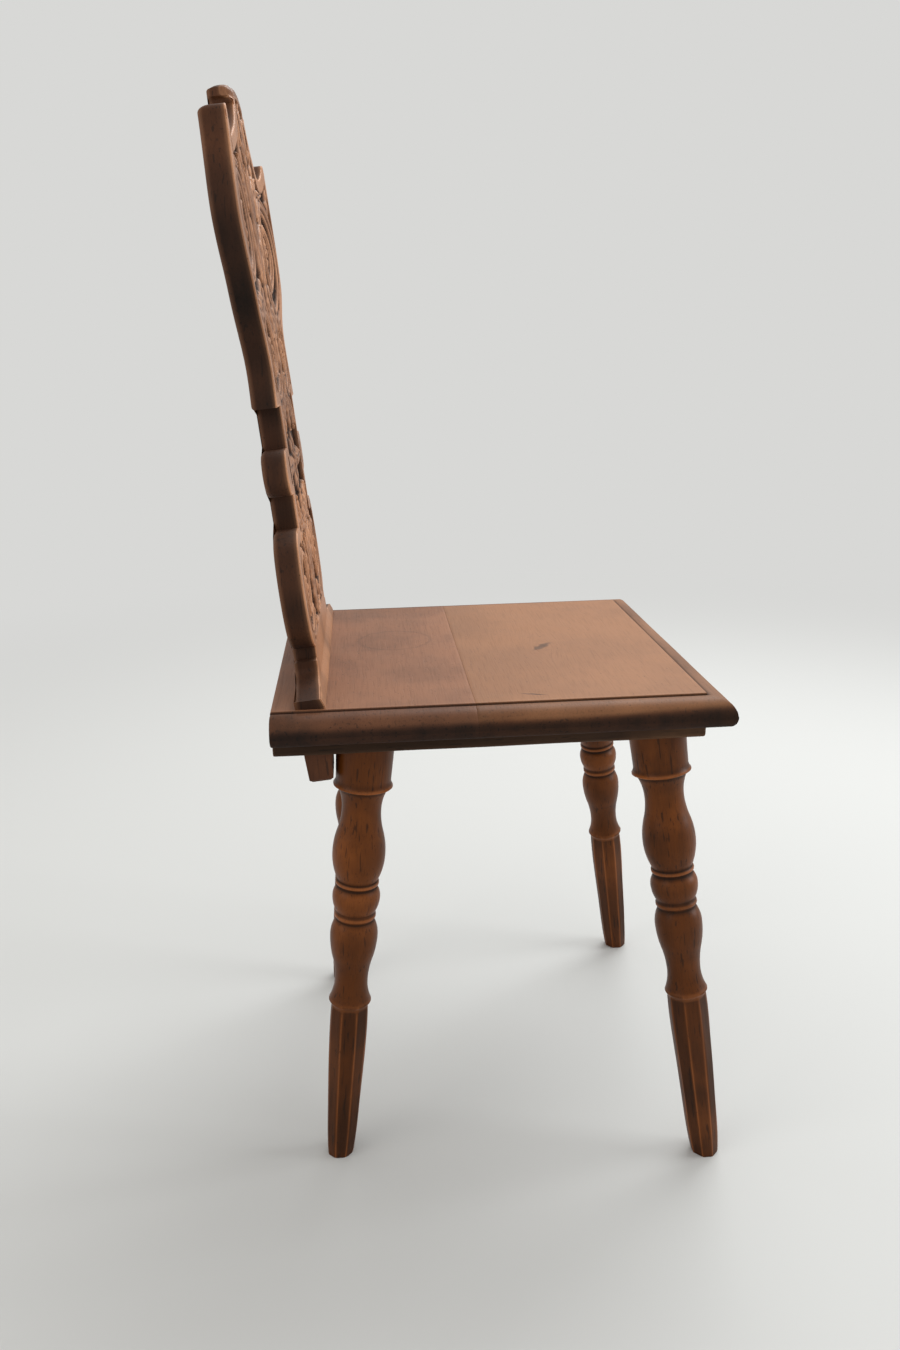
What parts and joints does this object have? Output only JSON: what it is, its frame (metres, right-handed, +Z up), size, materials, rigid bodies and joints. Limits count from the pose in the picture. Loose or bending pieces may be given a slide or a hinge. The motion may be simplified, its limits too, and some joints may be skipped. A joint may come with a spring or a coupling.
{
  "type": "carved board chair",
  "caption": "Board chair with a carved shaped back, a moulded square seat on dovetailed battens, and splayed turned legs with faceted lower shafts.",
  "frame": {"origin": "on the floor, at the centre of the bounding box's base, midway between the front feet and the back of the crest", "axes": "+Z is up, the front of the chair faces -Y, and +X is the sitter's left"},
  "size_m": [0.4008, 0.4169, 0.945],
  "materials": {
    "seat_wood": "worn satin, waxed",
    "leg_wood": "semi-gloss, waxed",
    "back_wood": "carved, waxed satin",
    "batten_wood": "dull, darkened by age"
  },
  "bodies": {
    "root": {"seat_front_board": "seat_wood", "seat_rear_board": "seat_wood", "batten_left": "batten_wood", "batten_right": "batten_wood", "leg_front_left": "leg_wood", "leg_front_right": "leg_wood", "leg_rear_left": "leg_wood", "leg_rear_right": "leg_wood", "leg_wedges": "batten_wood", "back_board": "back_wood", "back_keys": "batten_wood"}
  },
  "joints": []
}
